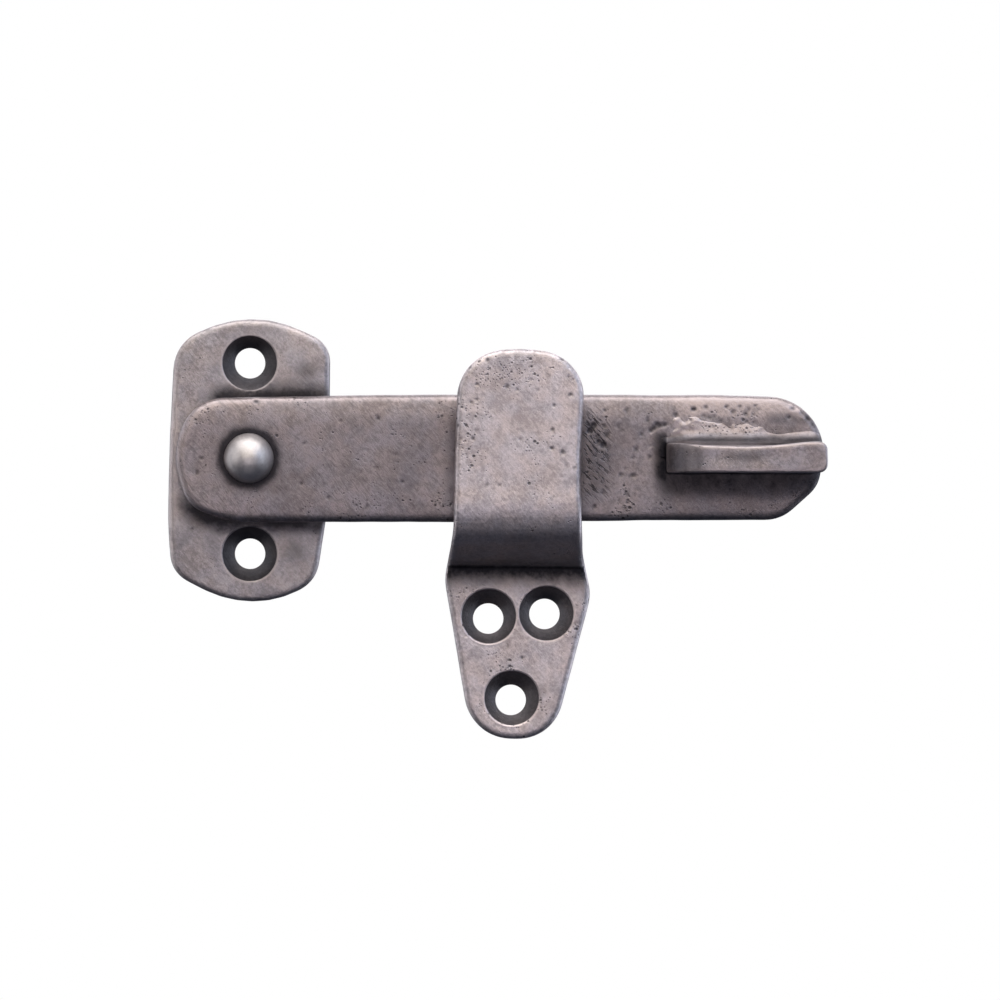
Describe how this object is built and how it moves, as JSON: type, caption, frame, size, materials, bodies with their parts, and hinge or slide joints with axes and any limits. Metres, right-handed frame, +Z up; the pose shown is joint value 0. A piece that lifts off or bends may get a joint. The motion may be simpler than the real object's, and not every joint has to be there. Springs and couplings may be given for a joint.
{
  "type": "toggle bolt latch",
  "caption": "Surface-mounted cast latch: a flat drop bar with a finger tab turns on a riveted pivot plate and drops behind an offset hook keeper.",
  "frame": {"origin": "the pivot's axis where it meets the door face, midway between the pivot plate's two screw holes", "axes": "+X along the bar from the pivot to the finger tab, +Z up, fronts face -Y, door face is the plane y = 0"},
  "size_m": [0.0992, 0.0203, 0.0635],
  "materials": {
    "cast_bronze": "as-cast white bronze, satin, pitted, with a dark patina in the recesses",
    "rivet_steel": "smooth bright steel, hand polished",
    "washer_bronze": "plain bronze strip, dull"
  },
  "bodies": {
    "fixed": {"pivot_plate": "cast_bronze", "pivot_rivet": "rivet_steel", "spacer_washer": "washer_bronze", "keeper": "cast_bronze"},
    "bar": {"latch_bar": "cast_bronze", "lift_tab": "cast_bronze"}
  },
  "joints": [
    {"name": "bar_swing", "type": "hinge", "parent": "fixed", "child": "bar", "pos_m": [0, 0, 0], "axis": [0, -1, 0], "range_deg": [0, 315]}
  ]
}
